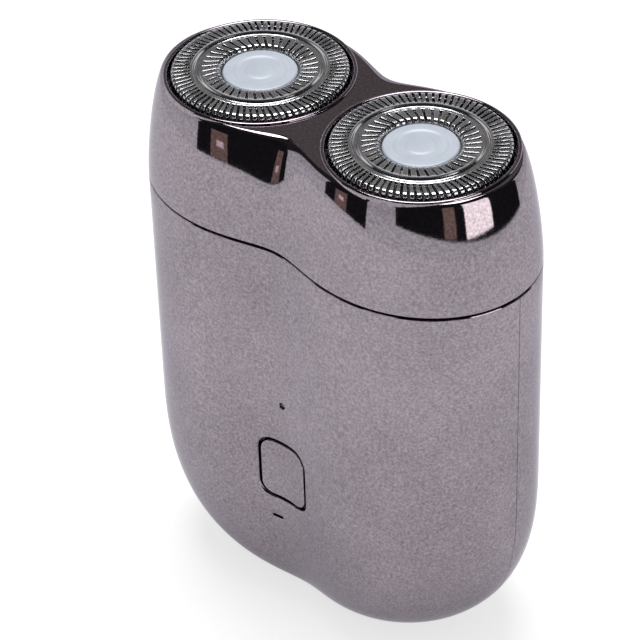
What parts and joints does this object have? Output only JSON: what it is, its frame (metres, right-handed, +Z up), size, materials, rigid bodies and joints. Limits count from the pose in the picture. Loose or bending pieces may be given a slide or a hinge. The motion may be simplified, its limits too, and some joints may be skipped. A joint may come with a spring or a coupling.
{
  "type": "electric shaver",
  "caption": "Compact rotary electric shaver: a two-lobed plated body with a lift-off head, slotted round guards, geared cutters and a front power button.",
  "frame": {"origin": "bottom centre of the bounding box, the middle of the flat base", "axes": "+Z up through the shaving heads, -Y the front with the button, X along the two lobes"},
  "size_m": [0.0634, 0.0316, 0.0815],
  "materials": {
    "plated_casing": "electroplated gunmetal mauve over ABS, fine satin grain",
    "foil_steel": "bright stainless steel",
    "cap_satin": "satin pale blue-grey",
    "blade_steel": "ground stainless steel",
    "spring_steel": "drawn spring wire",
    "spindle_steel": "ground steel",
    "white_acetal": "moulded acetal",
    "black_plastic": "moulded nylon",
    "seal_rubber": "soft silicone",
    "motor_steel": "zinc-plated steel",
    "brass_parts": "machined brass",
    "battery_wrap": "blue shrink sleeve over a metal cell",
    "magnet_plating": "nickel plated magnet",
    "board_green": "solder mask",
    "port_steel": "drawn steel shell",
    "light_clear": "clear moulded light pipe"
  },
  "bodies": {
    "body": {"front_shell": "plated_casing", "rear_shell": "plated_casing", "deck": "black_plastic", "deck_screws": "blade_steel", "deck_gasket": "seal_rubber", "deck_magnet": "magnet_plating", "spindle_seal_left": "seal_rubber", "spindle_seal_right": "seal_rubber", "gear_plate": "black_plastic", "plate_screws": "blade_steel", "motor_can": "motor_steel", "motor_magnets": "motor_steel", "motor_end_cap": "black_plastic", "motor_terminals": "brass_parts", "motor_screws": "blade_steel", "battery": "battery_wrap", "battery_tabs": "brass_parts", "battery_cradle": "black_plastic", "circuit_board": "board_green", "board_parts": "black_plastic", "board_screws": "blade_steel", "tact_switch": "black_plastic", "light": "light_clear", "light_pipe": "light_clear", "charge_board": "board_green", "charge_socket": "port_steel"},
    "head": {"head_cover": "plated_casing", "blade_frame": "black_plastic", "frame_screws": "blade_steel", "head_keeper": "blade_steel"},
    "guard_left": {"guard_left": "foil_steel", "guard_cap_left": "cap_satin"},
    "guard_right": {"guard_right": "foil_steel", "guard_cap_right": "cap_satin"},
    "cutter_left": {"cutter_left": "blade_steel", "cutter_hub_left": "white_acetal"},
    "cutter_right": {"cutter_right": "blade_steel", "cutter_hub_right": "white_acetal"},
    "spindle_left": {"spindle_left": "spindle_steel", "drive_gear_left": "white_acetal", "coupler_spring_left": "spring_steel"},
    "spindle_right": {"spindle_right": "spindle_steel", "drive_gear_right": "white_acetal", "coupler_spring_right": "spring_steel"},
    "coupler_left": {"coupler_left": "white_acetal"},
    "coupler_right": {"coupler_right": "white_acetal"},
    "motor_rotor": {"motor_shaft": "spindle_steel", "motor_armature": "motor_steel", "motor_pinion": "brass_parts"},
    "power_button": {"power_button": "plated_casing"},
    "switch_plunger": {"switch_plunger": "black_plastic"}
  },
  "joints": [
    {"name": "head_lift", "type": "slide", "parent": "body", "child": "head", "axis": [0, 0, 1], "range_m": [0, 0.03]},
    {"name": "button_press", "type": "slide", "parent": "body", "child": "power_button", "axis": [0, 1, 0], "range_m": [0, 0.0004], "stiffness_N_per_m": 2500},
    {"name": "plunger_press", "type": "slide", "parent": "body", "child": "switch_plunger", "axis": [0, 1, 0], "range_m": [0, 0.0004]},
    {"name": "motor_spin", "type": "hinge", "parent": "body", "child": "motor_rotor", "pos_m": [0, 0, 0.05], "axis": [0, 0, 1], "continuous": true},
    {"name": "float_left", "type": "slide", "parent": "head", "child": "guard_left", "axis": [0, 0, -1], "range_m": [0, 0.001], "stiffness_N_per_m": 1500, "springref_m": -0.0005, "deforming": ["coupler_spring_left"]},
    {"name": "cutter_spin_left", "type": "hinge", "parent": "guard_left", "child": "cutter_left", "pos_m": [-0.0145, 0, 0.078], "axis": [0, 0, 1], "continuous": true},
    {"name": "spindle_spin_left", "type": "hinge", "parent": "body", "child": "spindle_left", "pos_m": [-0.0145, 0, 0.06], "axis": [0, 0, 1], "continuous": true},
    {"name": "coupler_slide_left", "type": "slide", "parent": "spindle_left", "child": "coupler_left", "axis": [0, 0, -1], "range_m": [0, 0.001]},
    {"name": "float_right", "type": "slide", "parent": "head", "child": "guard_right", "axis": [0, 0, -1], "range_m": [0, 0.001], "stiffness_N_per_m": 1500, "springref_m": -0.0005, "deforming": ["coupler_spring_right"]},
    {"name": "cutter_spin_right", "type": "hinge", "parent": "guard_right", "child": "cutter_right", "pos_m": [0.0145, 0, 0.078], "axis": [0, 0, 1], "continuous": true},
    {"name": "spindle_spin_right", "type": "hinge", "parent": "body", "child": "spindle_right", "pos_m": [0.0145, 0, 0.06], "axis": [0, 0, 1], "continuous": true},
    {"name": "coupler_slide_right", "type": "slide", "parent": "spindle_right", "child": "coupler_right", "axis": [0, 0, -1], "range_m": [0, 0.001]}
  ],
  "couplings": [
    {"joint": "spindle_spin_left", "follows": "motor_spin", "ratio": -0.26087},
    {"joint": "spindle_spin_right", "follows": "motor_spin", "ratio": -0.26087},
    {"joint": "cutter_spin_left", "follows": "motor_spin", "ratio": -0.26087},
    {"joint": "cutter_spin_right", "follows": "motor_spin", "ratio": -0.26087},
    {"joint": "coupler_slide_left", "follows": "float_left", "ratio": 1},
    {"joint": "coupler_slide_right", "follows": "float_right", "ratio": 1},
    {"joint": "plunger_press", "follows": "button_press", "ratio": 1}
  ]
}
